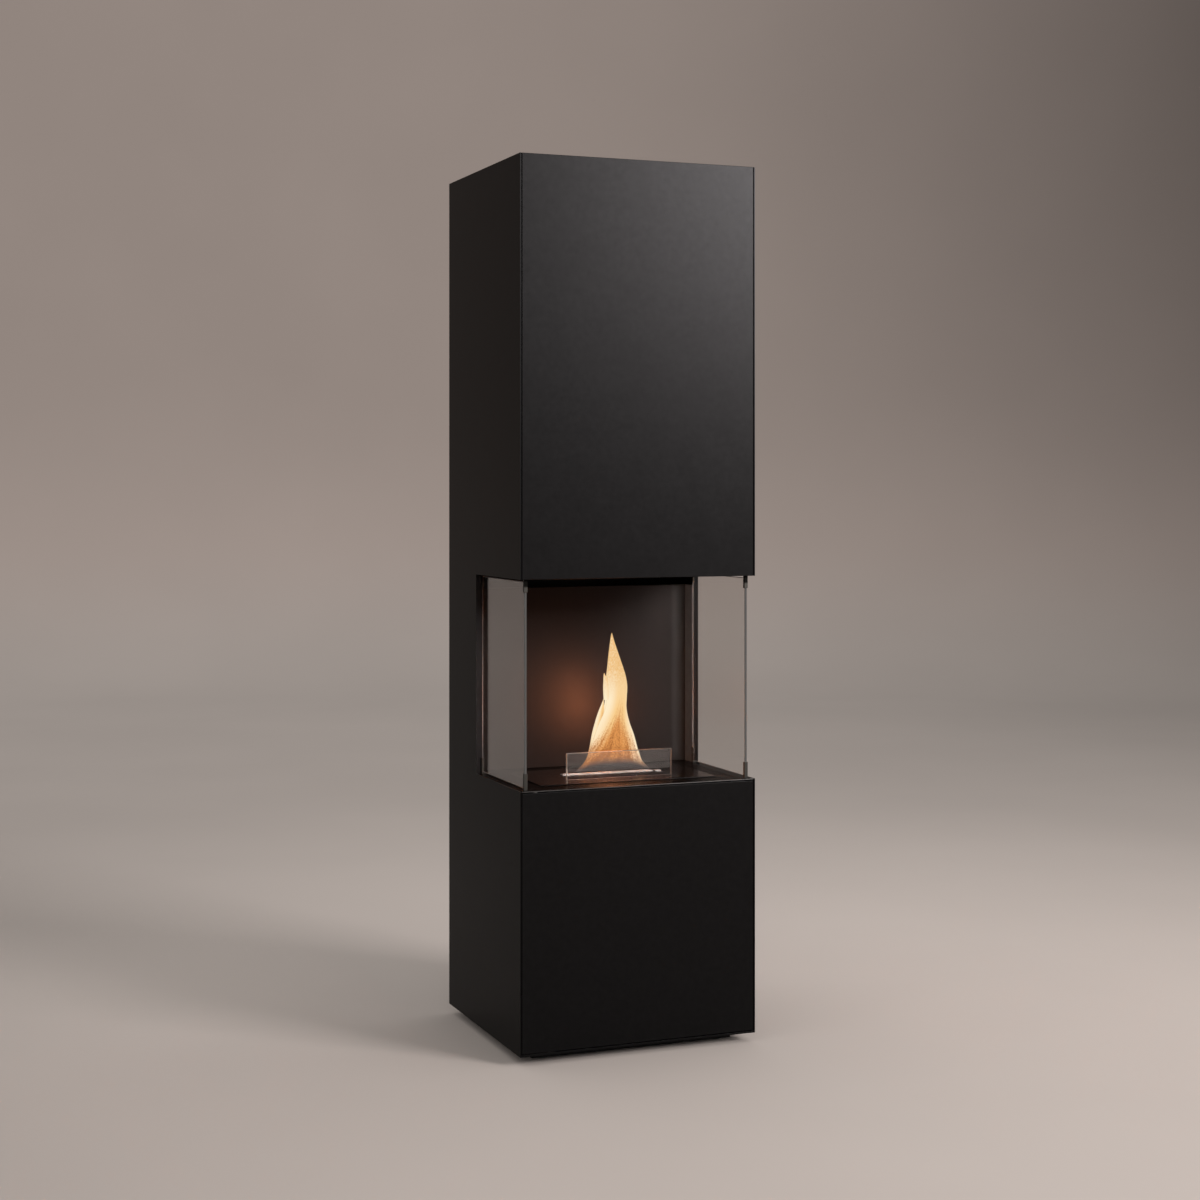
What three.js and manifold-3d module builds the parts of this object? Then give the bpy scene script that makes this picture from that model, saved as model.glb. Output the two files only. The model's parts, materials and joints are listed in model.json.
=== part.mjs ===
// A free-standing bioethanol fireplace: a black sheet-steel column with an open
// firebox at half height, a glass pane on each side and a burner set in the hearth.
// Millimetres, +Z up. The origin is on the floor, under the middle of the body.
// -Y is the front.
import * as THREE from "three";
import { mergeVertices } from "three/addons/utils/BufferGeometryUtils.js";
import Module from "manifold-3d";

const wasm = await Module();
wasm.setup();

// ---- driving dimensions -------------------------------------------------
const BODY_WIDTH = 400;
const BODY_DEPTH = 360;
const BODY_TOP = 1405;
const SHEET = 2; // steel sheet of the casing
const FIT = 0.3; // clearance between seated pieces
const SEAM = 1.2; // visible reveal beside the front panels

const FOOT_PAD_HEIGHT = 3;
const FOOT_PAD_RADIUS = 14;
const FOOT_STEM_RADIUS = 4;
const FOOT_STEM_ABOVE_BASE = 6;
const FOOT_FROM_PLINTH = 18;
const PLINTH_TOP = 15;
const PLINTH_INSET = 30;
const PLINTH_WALL = 3;
const BASE_THICKNESS = 3;

const HEARTH_LEVEL = 423;
const OPENING_HEIGHT = 325.5;
const SPINE_DEPTH = 145;
const SPINE_FLANGE_WIDTH = 11;
const LINER_RECESS = 30; // back panel behind the spine's front flanges
const LINER_HEIGHT = 301;
const LINER_GAP = 3; // shadow gap between spine flange and liner

const PANEL_RETURN = 15; // folded edges of trays and covers
const REAR_COVER_INSET = 3;
const REAR_FLANGE_WIDTH = 14;
const SCREW_HEAD_RADIUS = 3.6;
const SCREW_HEAD_HEIGHT = 2.2;
const SCREW_SHANK_RADIUS = 2;
const SCREW_SHANK_LENGTH = 6;
const SCREW_ROWS = 4;
const SCREW_END_MARGIN = 60;
const VENT_SLOT_WIDTH = 120;
const VENT_SLOT_HEIGHT = 6;
const VENT_SLOT_PITCH = 16;
const VENT_SLOT_COUNT = 6;
const VENT_TOP_MARGIN = 60;
const VENT_BOTTOM_MARGIN = 60;

const HEAT_SHIELD_RISE = 25;
const HEAT_SHIELD_MARGIN = 20;

const GLASS_THICKNESS = 4;
const GLASS_INSET = 10; // outer face of a pane, inside the casing's face
const GLASS_FRONT_SETBACK = 9;
const GLASS_REAR_GAP = 1.4; // from the pane's rear edge to the spine
const CLIP_WALL = 0.7;
const CLIP_LENGTH = 5;
const LOWER_CLIP_HEIGHT = 26;
const UPPER_CLIP_HEIGHT = 20;
const CLIP_FLOOR = 3;

const RAIL_WIDTH = 18;
const RAIL_HEIGHT = 20;
const GUARD_SHELF_DROP = 81; // cabinet ceiling below the hearth level

const INSERT_WIDTH = 300;
const INSERT_DEPTH = 166;
const INSERT_FRONT_SETBACK = 42;
const INSERT_THICKNESS = 1.5;
const TANK_WIDTH = 220;
const TANK_DEPTH = 80;
const TANK_HEIGHT = 50;
const TANK_WALL = 1.5;
const TANK_CUTOUT_GAP = 2;
const TRAY_HEIGHT = 22;
const TRAY_MARGIN = 14;
const SLOT_LENGTH = 150;
const SLOT_WIDTH = 10;
const SLOT_REAR_OFFSET = 16; // slot centre behind the insert's middle
const RIM_LENGTH = 158;
const RIM_WIDTH = 13;
const RIM_HEIGHT = 1;
const WICK_GAP = 5; // wick block inside the slot's length, each end
const WICK_DROP = 8; // wick top below the insert's top
const SHUTTER_THICKNESS = 1.5;
const SHUTTER_OVERLAP = 3;
const SHUTTER_TAB_GAP = 3.6; // between the rim's end and the tab
const SHUTTER_TAB_WIDTH = 10.6;
const SHUTTER_TAB_DEPTH = 9;
const WIND_GUARD_WIDTH = 182;
const WIND_GUARD_HEIGHT = 43.5;
const WIND_GUARD_THICKNESS = 5;
const WIND_GUARD_FROM_INSERT_FRONT = 42.5;

const DOOR_GAP = 1.2; // above and below the door
const HINGE_INSET = 24; // pivot from the door's edge
const HINGE_SETBACK = 6; // pivot behind the door's face
const HINGE_PIN_RADIUS = 3;
const HINGE_PIN_LENGTH = 20;
const HINGE_BLOCK_WIDTH = 20;
const HINGE_BLOCK_DEPTH = 10;
const HINGE_BLOCK_HEIGHT = 14;
const DOOR_RETURN_START = 60; // returns begin this far from the hinged edge
const LATCH_FROM_EDGE = 45;
const LATCH_WIDTH = 20;
const LATCH_HEIGHT = 18;
const LATCH_LENGTH = 60;
const LATCH_SETBACK = 6; // latch housing behind the strike plate
const PLUNGER_RADIUS = 4;
const PLUNGER_LENGTH = 50;
const STRIKE_SIZE = 26;
const STRIKE_THICKNESS = 1.5;
const BUMPER_WIDTH = 12;
const BUMPER_HEIGHT = 8;
const BUMPER_DEPTH = 6;

// ---- places worked out from them ----------------------------------------
const HALF_WIDTH = BODY_WIDTH / 2;
const FRONT = -BODY_DEPTH / 2;
const REAR = BODY_DEPTH / 2;
const INNER_SIDE = HALF_WIDTH - SHEET;
const SEATED_SIDE = INNER_SIDE - FIT;
const PANEL_SIDE = INNER_SIDE - SEAM;
const BASE_TOP = PLINTH_TOP + BASE_THICKNESS;
const OPENING_TOP = HEARTH_LEVEL + OPENING_HEIGHT;
const SPINE_FRONT = REAR - SPINE_DEPTH;
const LINER_FRONT = SPINE_FRONT + SHEET + LINER_GAP;
const LINER_BACK = SPINE_FRONT + SHEET + LINER_RECESS;
const LINER_SIDE = HALF_WIDTH - SPINE_FLANGE_WIDTH;
const LINER_TOP = HEARTH_LEVEL + LINER_HEIGHT;
const COVER_REAR = REAR - REAR_COVER_INSET;
const COVER_FRONT = COVER_REAR - SHEET;
const PLATE_REAR = COVER_FRONT - FIT - SHEET - FIT;
const HEARTH_UNDERSIDE = HEARTH_LEVEL - SHEET;
const TRAY_FRONT_INNER = FRONT + PANEL_RETURN;
const INSERT_FRONT = FRONT + INSERT_FRONT_SETBACK;
const INSERT_MIDDLE = INSERT_FRONT + INSERT_DEPTH / 2;
const INSERT_TOP = HEARTH_LEVEL + INSERT_THICKNESS;
const SLOT_Y = INSERT_MIDDLE + SLOT_REAR_OFFSET;
const RIM_TOP = INSERT_TOP + RIM_HEIGHT;
const TAB_LEFT = RIM_LENGTH / 2 + SHUTTER_TAB_GAP;
const TAB_FRONT = SLOT_Y - RIM_WIDTH / 2;
const SHUTTER_TRAVEL = SLOT_WIDTH + SHUTTER_OVERLAP + FIT;
const TANK_BOTTOM = HEARTH_LEVEL - TANK_HEIGHT;
const SHELF_TOP = HEARTH_LEVEL - GUARD_SHELF_DROP;
const GLASS_OUTER = HALF_WIDTH - GLASS_INSET;
const GLASS_INNER = GLASS_OUTER - GLASS_THICKNESS;
const GLASS_FRONT = FRONT + GLASS_FRONT_SETBACK;
const GLASS_REAR = SPINE_FRONT - GLASS_REAR_GAP;
const GLASS_BOTTOM = HEARTH_LEVEL + CLIP_FLOOR + FIT;
const GLASS_TOP = OPENING_TOP - CLIP_FLOOR - FIT;
const HINGE_X = -PANEL_SIDE + HINGE_INSET;
const HINGE_Y = FRONT + HINGE_SETBACK;
const DOOR_BOTTOM = BASE_TOP + DOOR_GAP;
const DOOR_TOP = HEARTH_UNDERSIDE - DOOR_GAP;
const DOOR_BACK = FRONT + SHEET;
const LATCH_X = PANEL_SIDE - LATCH_FROM_EDGE;
const LATCH_Z = HEARTH_UNDERSIDE - LATCH_HEIGHT / 2;

// ---- geometry helpers ---------------------------------------------------
function slab(x0, x1, y0, y1, z0, z1) {
  const box = new THREE.BoxGeometry(x1 - x0, y1 - y0, z1 - z0);
  return box.translate((x0 + x1) / 2, (y0 + y1) / 2, (z0 + z1) / 2);
}

// A slab from -halfWidth to +halfWidth.
function wideSlab(halfWidth, y0, y1, z0, z1) {
  return slab(-halfWidth, halfWidth, y0, y1, z0, z1);
}

function uprightPin(radius, x, y, z0, z1) {
  const pin = new THREE.CylinderGeometry(radius, radius, z1 - z0, 24);
  return pin.rotateX(Math.PI / 2).translate(x, y, (z0 + z1) / 2);
}

// A pin that lies along Y.
function levelPin(radius, x, z, y0, y1) {
  const pin = new THREE.CylinderGeometry(radius, radius, y1 - y0, 20);
  return pin.translate(x, (y0 + y1) / 2, z);
}

function mirroredInX(geometry) {
  const mirrored = geometry.clone().scale(-1, 1, 1);
  const index = mirrored.index;
  for (let i = 0; i < index.count; i += 3) {
    const first = index.getX(i);
    index.setX(i, index.getX(i + 2));
    index.setX(i + 2, first);
  }
  return mirrored;
}

function toSolid(geometry) {
  const bare = geometry.clone();
  bare.deleteAttribute("normal");
  bare.deleteAttribute("uv");
  const merged = mergeVertices(bare, 1e-4);
  const vertProperties = Float32Array.from(merged.attributes.position.array);
  const triVerts = Uint32Array.from(merged.index.array);
  return new wasm.Manifold(new wasm.Mesh({ numProp: 3, vertProperties, triVerts }));
}

function toGeometry(solid) {
  const mesh = solid.getMesh();
  const geometry = new THREE.BufferGeometry();
  geometry.setAttribute("position", new THREE.BufferAttribute(mesh.vertProperties, 3));
  geometry.setIndex(new THREE.BufferAttribute(mesh.triVerts, 1));
  geometry.computeVertexNormals();
  return geometry;
}

function joined(first, ...others) {
  const add = (solid, other) => solid.add(toSolid(other));
  return toGeometry(others.reduce(add, toSolid(first)));
}

function cutBy(first, ...cutters) {
  const subtract = (solid, cutter) => solid.subtract(toSolid(cutter));
  return toGeometry(cutters.reduce(subtract, toSolid(first)));
}

// ---- finishes -----------------------------------------------------------
function finish(color, roughness, metalness) {
  return () => new THREE.MeshStandardMaterial({ color, roughness, metalness });
}
const blackCoat = finish(0x1b1a19, 0.45, 0.2);
const linerCoat = finish(0x151312, 0.6, 0.2);
const hearthSteel = finish(0x242221, 0.35, 0.4);
const insertGloss = finish(0x141211, 0.12, 0.3);
const brushedSteel = finish(0xb4b0a8, 0.3, 1);
const platedSteel = finish(0x3a3836, 0.4, 0.9);
const galvanised = finish(0x8a8c8c, 0.5, 0.9);
const ceramicFibre = finish(0xd8d2c6, 0.95, 0);
const blackRubber = finish(0x161616, 0.9, 0);
const darkPlastic = finish(0x2a2a2b, 0.6, 0);

function clearGlass() {
  const glass = { color: 0xdfe8e4, roughness: 0.03, metalness: 0 };
  return new THREE.MeshStandardMaterial({ ...glass, transparent: true, opacity: 0.3 });
}

// ---- assembly -----------------------------------------------------------
const fireplace = new THREE.Group();

function place(name, geometry, makeMaterial) {
  const mesh = new THREE.Mesh(geometry, makeMaterial());
  mesh.name = name;
  fireplace.add(mesh);
}

// Calls back with the name and sign of each side.
function onBothSides(callback) {
  callback("left", -1);
  callback("right", 1);
}

// ---- foot of the column -------------------------------------------------
function footPlaces() {
  const x = HALF_WIDTH - PLINTH_INSET - PLINTH_WALL - FOOT_FROM_PLINTH;
  const y = REAR - PLINTH_INSET - PLINTH_WALL - FOOT_FROM_PLINTH;
  return { front_left: [-x, -y], front_right: [x, -y], rear_left: [-x, y], rear_right: [x, y] };
}

function plinthFrame() {
  const halfWidth = HALF_WIDTH - PLINTH_INSET;
  const y = REAR - PLINTH_INSET;
  const outside = wideSlab(halfWidth, -y, y, FOOT_PAD_HEIGHT, PLINTH_TOP);
  const wall = PLINTH_WALL;
  return cutBy(outside, wideSlab(halfWidth - wall, wall - y, y - wall, 0, PLINTH_TOP + 1));
}

function levellingFoot(x, y) {
  const stemTop = BASE_TOP + FOOT_STEM_ABOVE_BASE;
  const profile = [
    new THREE.Vector2(0, 0),
    new THREE.Vector2(FOOT_PAD_RADIUS, 0),
    new THREE.Vector2(FOOT_PAD_RADIUS, FOOT_PAD_HEIGHT),
    new THREE.Vector2(FOOT_STEM_RADIUS, FOOT_PAD_HEIGHT + 1),
    new THREE.Vector2(FOOT_STEM_RADIUS, stemTop),
    new THREE.Vector2(0, stemTop),
  ];
  return new THREE.LatheGeometry(profile, 28).rotateX(Math.PI / 2).translate(x, y, 0);
}

function basePlate() {
  const plate = wideSlab(SEATED_SIDE, FRONT, COVER_FRONT - FIT, PLINTH_TOP, BASE_TOP);
  const holeRadius = FOOT_STEM_RADIUS + FIT;
  const hole = ([x, y]) => uprightPin(holeRadius, x, y, PLINTH_TOP - 1, BASE_TOP + 1);
  return cutBy(plate, ...Object.values(footPlaces()).map(hole));
}

// ---- casing -------------------------------------------------------------
// One C-shaped sheet with a flange at the spine's front and another at the rear.
function sidePanel() {
  const sheet = slab(INNER_SIDE, HALF_WIDTH, FRONT, REAR, PLINTH_TOP, BODY_TOP);
  const opening = slab(
    INNER_SIDE - 1, HALF_WIDTH + 1, FRONT - 1, SPINE_FRONT, HEARTH_LEVEL, OPENING_TOP,
  );
  const spineFlange = slab(
    LINER_SIDE, INNER_SIDE + 1, SPINE_FRONT, SPINE_FRONT + SHEET, HEARTH_LEVEL, OPENING_TOP,
  );
  const rearFlange = slab(
    HALF_WIDTH - REAR_FLANGE_WIDTH, INNER_SIDE + 1,
    COVER_FRONT - FIT - SHEET, COVER_FRONT - FIT, BASE_TOP + FIT, BODY_TOP - PANEL_RETURN - 1,
  );
  const holes = screwHeights().map((z) => levelPin(
    SCREW_SHANK_RADIUS + FIT, screwX(), z, COVER_FRONT - FIT - SHEET - 1, COVER_FRONT,
  ));
  return cutBy(joined(cutBy(sheet, opening), spineFlange, rearFlange), ...holes);
}

function screwX() {
  return HALF_WIDTH - REAR_FLANGE_WIDTH / 2 - SHEET / 2;
}

function screwHeights() {
  const lowest = PLINTH_TOP + SCREW_END_MARGIN;
  const step = (BODY_TOP - SCREW_END_MARGIN - lowest) / (SCREW_ROWS - 1);
  return Array.from({ length: SCREW_ROWS }, (_, row) => lowest + row * step);
}

function ventSlots(firstZ) {
  return Array.from({ length: VENT_SLOT_COUNT }, (_, row) => {
    const z = firstZ + row * VENT_SLOT_PITCH;
    const halfWidth = VENT_SLOT_WIDTH / 2;
    return wideSlab(halfWidth, COVER_FRONT - 1, REAR, z, z + VENT_SLOT_HEIGHT);
  });
}

function rearCover() {
  const top = BODY_TOP - SHEET - FIT;
  const sheet = wideSlab(SEATED_SIDE, COVER_FRONT, COVER_REAR, PLINTH_TOP, top);
  const slotRun = (VENT_SLOT_COUNT - 1) * VENT_SLOT_PITCH + VENT_SLOT_HEIGHT;
  const upperSlots = ventSlots(BODY_TOP - VENT_TOP_MARGIN - slotRun);
  const lowerSlots = ventSlots(PLINTH_TOP + VENT_BOTTOM_MARGIN);
  const holes = screwHeights().flatMap((z) => [-screwX(), screwX()].map((x) => levelPin(
    SCREW_SHANK_RADIUS + FIT, x, z, COVER_FRONT - 1, COVER_REAR + 1,
  )));
  return cutBy(sheet, ...upperSlots, ...lowerSlots, ...holes);
}

function coverScrew(x, z) {
  const profile = [
    new THREE.Vector2(0, 0),
    new THREE.Vector2(SCREW_HEAD_RADIUS, 0),
    new THREE.Vector2(SCREW_HEAD_RADIUS, SCREW_HEAD_HEIGHT * 0.5),
    new THREE.Vector2(SCREW_HEAD_RADIUS * 0.6, SCREW_HEAD_HEIGHT),
    new THREE.Vector2(0, SCREW_HEAD_HEIGHT),
  ];
  const head = new THREE.LatheGeometry(profile, 20).translate(x, COVER_REAR, z);
  const shankEnd = COVER_REAR - SCREW_SHANK_LENGTH;
  return joined(head, levelPin(SCREW_SHANK_RADIUS, x, z, shankEnd, COVER_REAR + 0.5));
}

function topCover() {
  const front = FRONT + SHEET + FIT;
  const low = BODY_TOP - PANEL_RETURN;
  const plate = wideSlab(SEATED_SIDE, front, REAR, BODY_TOP - SHEET, BODY_TOP);
  const lip = slab(SEATED_SIDE - SHEET, SEATED_SIDE, front, PLATE_REAR, low, BODY_TOP);
  return joined(plate, lip, mirroredInX(lip));
}

// A shallow tray with its open side to the rear; its side returns stop below the top.
function upperFrontPanel() {
  const face = wideSlab(PANEL_SIDE, FRONT, FRONT + SHEET, OPENING_TOP, BODY_TOP);
  const bottomLip = wideSlab(
    PANEL_SIDE, FRONT, TRAY_FRONT_INNER, OPENING_TOP, OPENING_TOP + SHEET,
  );
  const returnTop = BODY_TOP - PANEL_RETURN - FIT;
  const sideReturn = slab(
    PANEL_SIDE - SHEET, PANEL_SIDE, FRONT, TRAY_FRONT_INNER, OPENING_TOP, returnTop,
  );
  return joined(face, bottomLip, sideReturn, mirroredInX(sideReturn));
}

// ---- hood above the firebox ---------------------------------------------
function ceilingPlate() {
  const front = TRAY_FRONT_INNER + FIT;
  const rear = LINER_BACK;
  const plate = wideSlab(SEATED_SIDE, front, rear, OPENING_TOP, OPENING_TOP + SHEET);
  const rearLip = wideSlab(
    SEATED_SIDE, rear - SHEET, rear, OPENING_TOP, OPENING_TOP + PANEL_RETURN,
  );
  return joined(plate, rearLip);
}

function heatShield() {
  const low = OPENING_TOP + SHEET;
  const high = low + HEAT_SHIELD_RISE;
  const halfWidth = SEATED_SIDE - HEAT_SHIELD_MARGIN;
  const front = TRAY_FRONT_INNER + HEAT_SHIELD_MARGIN;
  const rear = LINER_BACK - HEAT_SHIELD_MARGIN;
  const outside = wideSlab(halfWidth, front, rear, low, high);
  return cutBy(outside, wideSlab(halfWidth - SHEET, front - 1, rear + 1, low - 1, high - SHEET));
}

// ---- firebox liner ------------------------------------------------------
function linerBack() {
  return wideSlab(LINER_SIDE, LINER_BACK, LINER_BACK + SHEET, HEARTH_LEVEL, LINER_TOP);
}

function linerSide() {
  return slab(
    LINER_SIDE - SHEET, LINER_SIDE, LINER_FRONT, LINER_BACK, HEARTH_LEVEL, LINER_TOP,
  );
}

// ---- side glass ---------------------------------------------------------
function sidePane() {
  return slab(GLASS_INNER, GLASS_OUTER, GLASS_FRONT, GLASS_REAR, GLASS_BOTTOM, GLASS_TOP);
}

// A U-shaped clip that holds one corner of the right-hand pane.
function paneClip(atFront, atTop) {
  const x0 = GLASS_INNER - FIT - CLIP_WALL;
  const x1 = GLASS_OUTER + FIT + CLIP_WALL;
  const near = atFront ? GLASS_FRONT - FIT - CLIP_WALL : GLASS_REAR + FIT + CLIP_WALL;
  const far = atFront ? near + CLIP_LENGTH : near - CLIP_LENGTH;
  const z0 = atTop ? OPENING_TOP - UPPER_CLIP_HEIGHT : HEARTH_LEVEL;
  const z1 = atTop ? OPENING_TOP : HEARTH_LEVEL + LOWER_CLIP_HEIGHT;
  const outside = slab(x0, x1, Math.min(near, far), Math.max(near, far), z0, z1);
  const room = slab(
    GLASS_INNER - FIT, GLASS_OUTER + FIT, GLASS_FRONT - FIT, GLASS_REAR + FIT,
    GLASS_BOTTOM - FIT, GLASS_TOP + FIT,
  );
  return cutBy(outside, room);
}

// ---- hearth -------------------------------------------------------------
function tankCutout(gap, z0, z1) {
  const halfWidth = TANK_WIDTH / 2 + gap;
  const halfDepth = TANK_DEPTH / 2 + gap;
  return wideSlab(halfWidth, INSERT_MIDDLE - halfDepth, INSERT_MIDDLE + halfDepth, z0, z1);
}

function hearthPlate() {
  const plate = wideSlab(
    SEATED_SIDE, FRONT, LINER_BACK + SHEET, HEARTH_UNDERSIDE, HEARTH_LEVEL,
  );
  return cutBy(plate, tankCutout(TANK_CUTOUT_GAP, HEARTH_UNDERSIDE - 1, HEARTH_LEVEL + 1));
}

// An angle on each side panel that carries the hearth plate.
function hearthRail() {
  const front = HINGE_Y + HINGE_INSET + SHEET;
  const low = HEARTH_UNDERSIDE - RAIL_HEIGHT;
  const inner = SEATED_SIDE - RAIL_WIDTH;
  const outside = slab(inner, SEATED_SIDE, front, LINER_BACK, low, HEARTH_UNDERSIDE);
  const hollow = slab(
    inner - 1, SEATED_SIDE - SHEET, front - 1, LINER_BACK + 1, low - 1, HEARTH_UNDERSIDE - SHEET,
  );
  return cutBy(outside, hollow);
}

// A shelf under the burner that closes the cabinet's top.
function cabinetCeiling() {
  const front = HINGE_Y + HINGE_INSET + SHEET;
  const low = SHELF_TOP - PANEL_RETURN;
  const outside = wideSlab(SEATED_SIDE, front, PLATE_REAR, low, SHELF_TOP);
  const hollow = wideSlab(
    SEATED_SIDE - SHEET, front - 1, PLATE_REAR + 1, low - 1, SHELF_TOP - SHEET,
  );
  return cutBy(outside, hollow);
}

function overflowTray() {
  const top = SHELF_TOP + TRAY_HEIGHT;
  const outside = tankCutout(TRAY_MARGIN, SHELF_TOP, top);
  return cutBy(outside, tankCutout(TRAY_MARGIN - SHEET, SHELF_TOP + SHEET, top + 1));
}

// ---- burner insert, lifted out as one -----------------------------------
function slotBox(length, width, z0, z1) {
  return wideSlab(length / 2, SLOT_Y - width / 2, SLOT_Y + width / 2, z0, z1);
}

function windGuardY() {
  return INSERT_FRONT + WIND_GUARD_FROM_INSERT_FRONT;
}

function insertPlate() {
  const rear = INSERT_FRONT + INSERT_DEPTH;
  const plate = wideSlab(INSERT_WIDTH / 2, INSERT_FRONT, rear, HEARTH_LEVEL, INSERT_TOP);
  const slot = slotBox(SLOT_LENGTH, SLOT_WIDTH, HEARTH_LEVEL - 1, INSERT_TOP + 1);
  const guardSlot = wideSlab(
    WIND_GUARD_WIDTH / 2 + FIT, windGuardY() - FIT, windGuardY() + WIND_GUARD_THICKNESS + FIT,
    HEARTH_LEVEL - 1, INSERT_TOP + 1,
  );
  const tabSlot = tabBox(FIT, SHUTTER_TRAVEL, HEARTH_LEVEL - 1, INSERT_TOP + 1);
  return cutBy(plate, slot, guardSlot, tabSlot);
}

// The shutter's tab, widened by a gap and run forward by the shutter's travel.
function tabBox(gap, travel, z0, z1) {
  return slab(
    TAB_LEFT - gap, TAB_LEFT + SHUTTER_TAB_WIDTH + gap,
    TAB_FRONT - travel - gap, TAB_FRONT + SHUTTER_TAB_DEPTH + gap, z0, z1,
  );
}

function slotRim() {
  const outside = slotBox(RIM_LENGTH, RIM_WIDTH, INSERT_TOP, RIM_TOP);
  return cutBy(outside, slotBox(SLOT_LENGTH, SLOT_WIDTH, INSERT_TOP - 1, RIM_TOP + 1));
}

function burnerTank() {
  const outside = tankCutout(0, TANK_BOTTOM, HEARTH_LEVEL);
  return cutBy(outside, tankCutout(-TANK_WALL, TANK_BOTTOM + TANK_WALL, HEARTH_LEVEL + 1));
}

function wickBlock() {
  const top = INSERT_TOP - WICK_DROP;
  const halfDepth = TANK_DEPTH / 2 - TANK_WALL - FIT;
  const bottom = TANK_BOTTOM + TANK_WALL;
  const halfLength = SLOT_LENGTH / 2 - WICK_GAP;
  return wideSlab(halfLength, INSERT_MIDDLE - halfDepth, INSERT_MIDDLE + halfDepth, bottom, top);
}

// A plate that waits behind the slot, under the insert plate, with a tab that
// stands up through the insert plate beside the rim.
function shutter() {
  const z1 = HEARTH_LEVEL - FIT;
  const z0 = z1 - SHUTTER_THICKNESS;
  const plateFront = SLOT_Y + SLOT_WIDTH / 2 + FIT;
  const plateRear = plateFront + SLOT_WIDTH + 2 * SHUTTER_OVERLAP;
  const plateLeft = -SLOT_LENGTH / 2 - SHUTTER_OVERLAP;
  const right = TAB_LEFT + SHUTTER_TAB_WIDTH;
  const plate = slab(plateLeft, right, plateFront, plateRear, z0, z1);
  const arm = slab(TAB_LEFT, right, TAB_FRONT, plateRear, z0, z1);
  return joined(plate, arm, tabBox(0, 0, z0, RIM_TOP));
}

// A pane that stands through the insert plate on the tank's front wall.
function windGuard() {
  const bottom = HEARTH_LEVEL + FIT;
  return wideSlab(
    WIND_GUARD_WIDTH / 2, windGuardY(), windGuardY() + WIND_GUARD_THICKNESS,
    bottom, bottom + WIND_GUARD_HEIGHT,
  );
}

// ---- door of the lower cabinet ------------------------------------------
function doorPanel() {
  const face = wideSlab(PANEL_SIDE, FRONT, DOOR_BACK, DOOR_BOTTOM, DOOR_TOP);
  const returnLeft = -PANEL_SIDE + DOOR_RETURN_START;
  const latchLow = HEARTH_UNDERSIDE - LATCH_HEIGHT - SHEET;
  const bottomReturn = slab(
    returnLeft, PANEL_SIDE, FRONT, TRAY_FRONT_INNER, DOOR_BOTTOM, DOOR_BOTTOM + SHEET,
  );
  const sideReturn = slab(
    PANEL_SIDE - SHEET, PANEL_SIDE, FRONT, TRAY_FRONT_INNER, DOOR_BOTTOM, latchLow,
  );
  return joined(face, bottomReturn, sideReturn);
}

function hingePin(z0, z1) {
  return uprightPin(HINGE_PIN_RADIUS, HINGE_X, HINGE_Y, z0, z1);
}

function hingeBlock(z0) {
  const halfWidth = HINGE_BLOCK_WIDTH / 2;
  const z1 = z0 + HINGE_BLOCK_HEIGHT;
  const rear = DOOR_BACK + HINGE_BLOCK_DEPTH;
  const block = slab(HINGE_X - halfWidth, HINGE_X + halfWidth, DOOR_BACK, rear, z0, z1);
  const bore = uprightPin(HINGE_PIN_RADIUS + FIT, HINGE_X, HINGE_Y, z0 - 1, z1 + 1);
  return cutBy(block, bore);
}

function strikePlate() {
  const half = STRIKE_SIZE / 2;
  const top = DOOR_TOP - SHEET;
  return slab(
    LATCH_X - half, LATCH_X + half, DOOR_BACK, DOOR_BACK + STRIKE_THICKNESS,
    top - STRIKE_SIZE, top,
  );
}

function latchHousing() {
  const front = DOOR_BACK + STRIKE_THICKNESS + LATCH_SETBACK;
  const low = HEARTH_UNDERSIDE - LATCH_HEIGHT;
  const halfWidth = LATCH_WIDTH / 2;
  const rear = front + LATCH_LENGTH;
  const body = slab(LATCH_X - halfWidth, LATCH_X + halfWidth, front, rear, low, HEARTH_UNDERSIDE);
  return cutBy(body, levelPin(PLUNGER_RADIUS + FIT, LATCH_X, LATCH_Z, front - 1, rear + 1));
}

function latchPlunger() {
  const front = DOOR_BACK + STRIKE_THICKNESS + FIT;
  return levelPin(PLUNGER_RADIUS, LATCH_X, LATCH_Z, front, front + PLUNGER_LENGTH);
}

function doorBumper() {
  const rear = DOOR_BACK + SHEET + FIT + BUMPER_DEPTH;
  const right = PANEL_SIDE - SHEET - BUMPER_WIDTH;
  const z0 = DOOR_BOTTOM + SHEET + FIT;
  return slab(right - BUMPER_WIDTH, right, DOOR_BACK + FIT, rear, z0, z0 + BUMPER_HEIGHT);
}

// ---- putting it together ------------------------------------------------
place("plinth_frame", plinthFrame(), blackCoat);
for (const [corner, [x, y]] of Object.entries(footPlaces())) {
  place(`levelling_foot_${corner}`, levellingFoot(x, y), blackRubber);
}
place("base_plate", basePlate(), blackCoat);
place("rear_cover", rearCover(), blackCoat);
place("top_cover", topCover(), blackCoat);
place("upper_front_panel", upperFrontPanel(), blackCoat);
place("ceiling_plate", ceilingPlate(), linerCoat);
place("heat_shield", heatShield(), galvanised);
place("firebox_back_panel", linerBack(), linerCoat);
place("hearth_plate", hearthPlate(), hearthSteel);
place("cabinet_ceiling", cabinetCeiling(), linerCoat);
place("overflow_tray", overflowTray(), galvanised);

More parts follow.
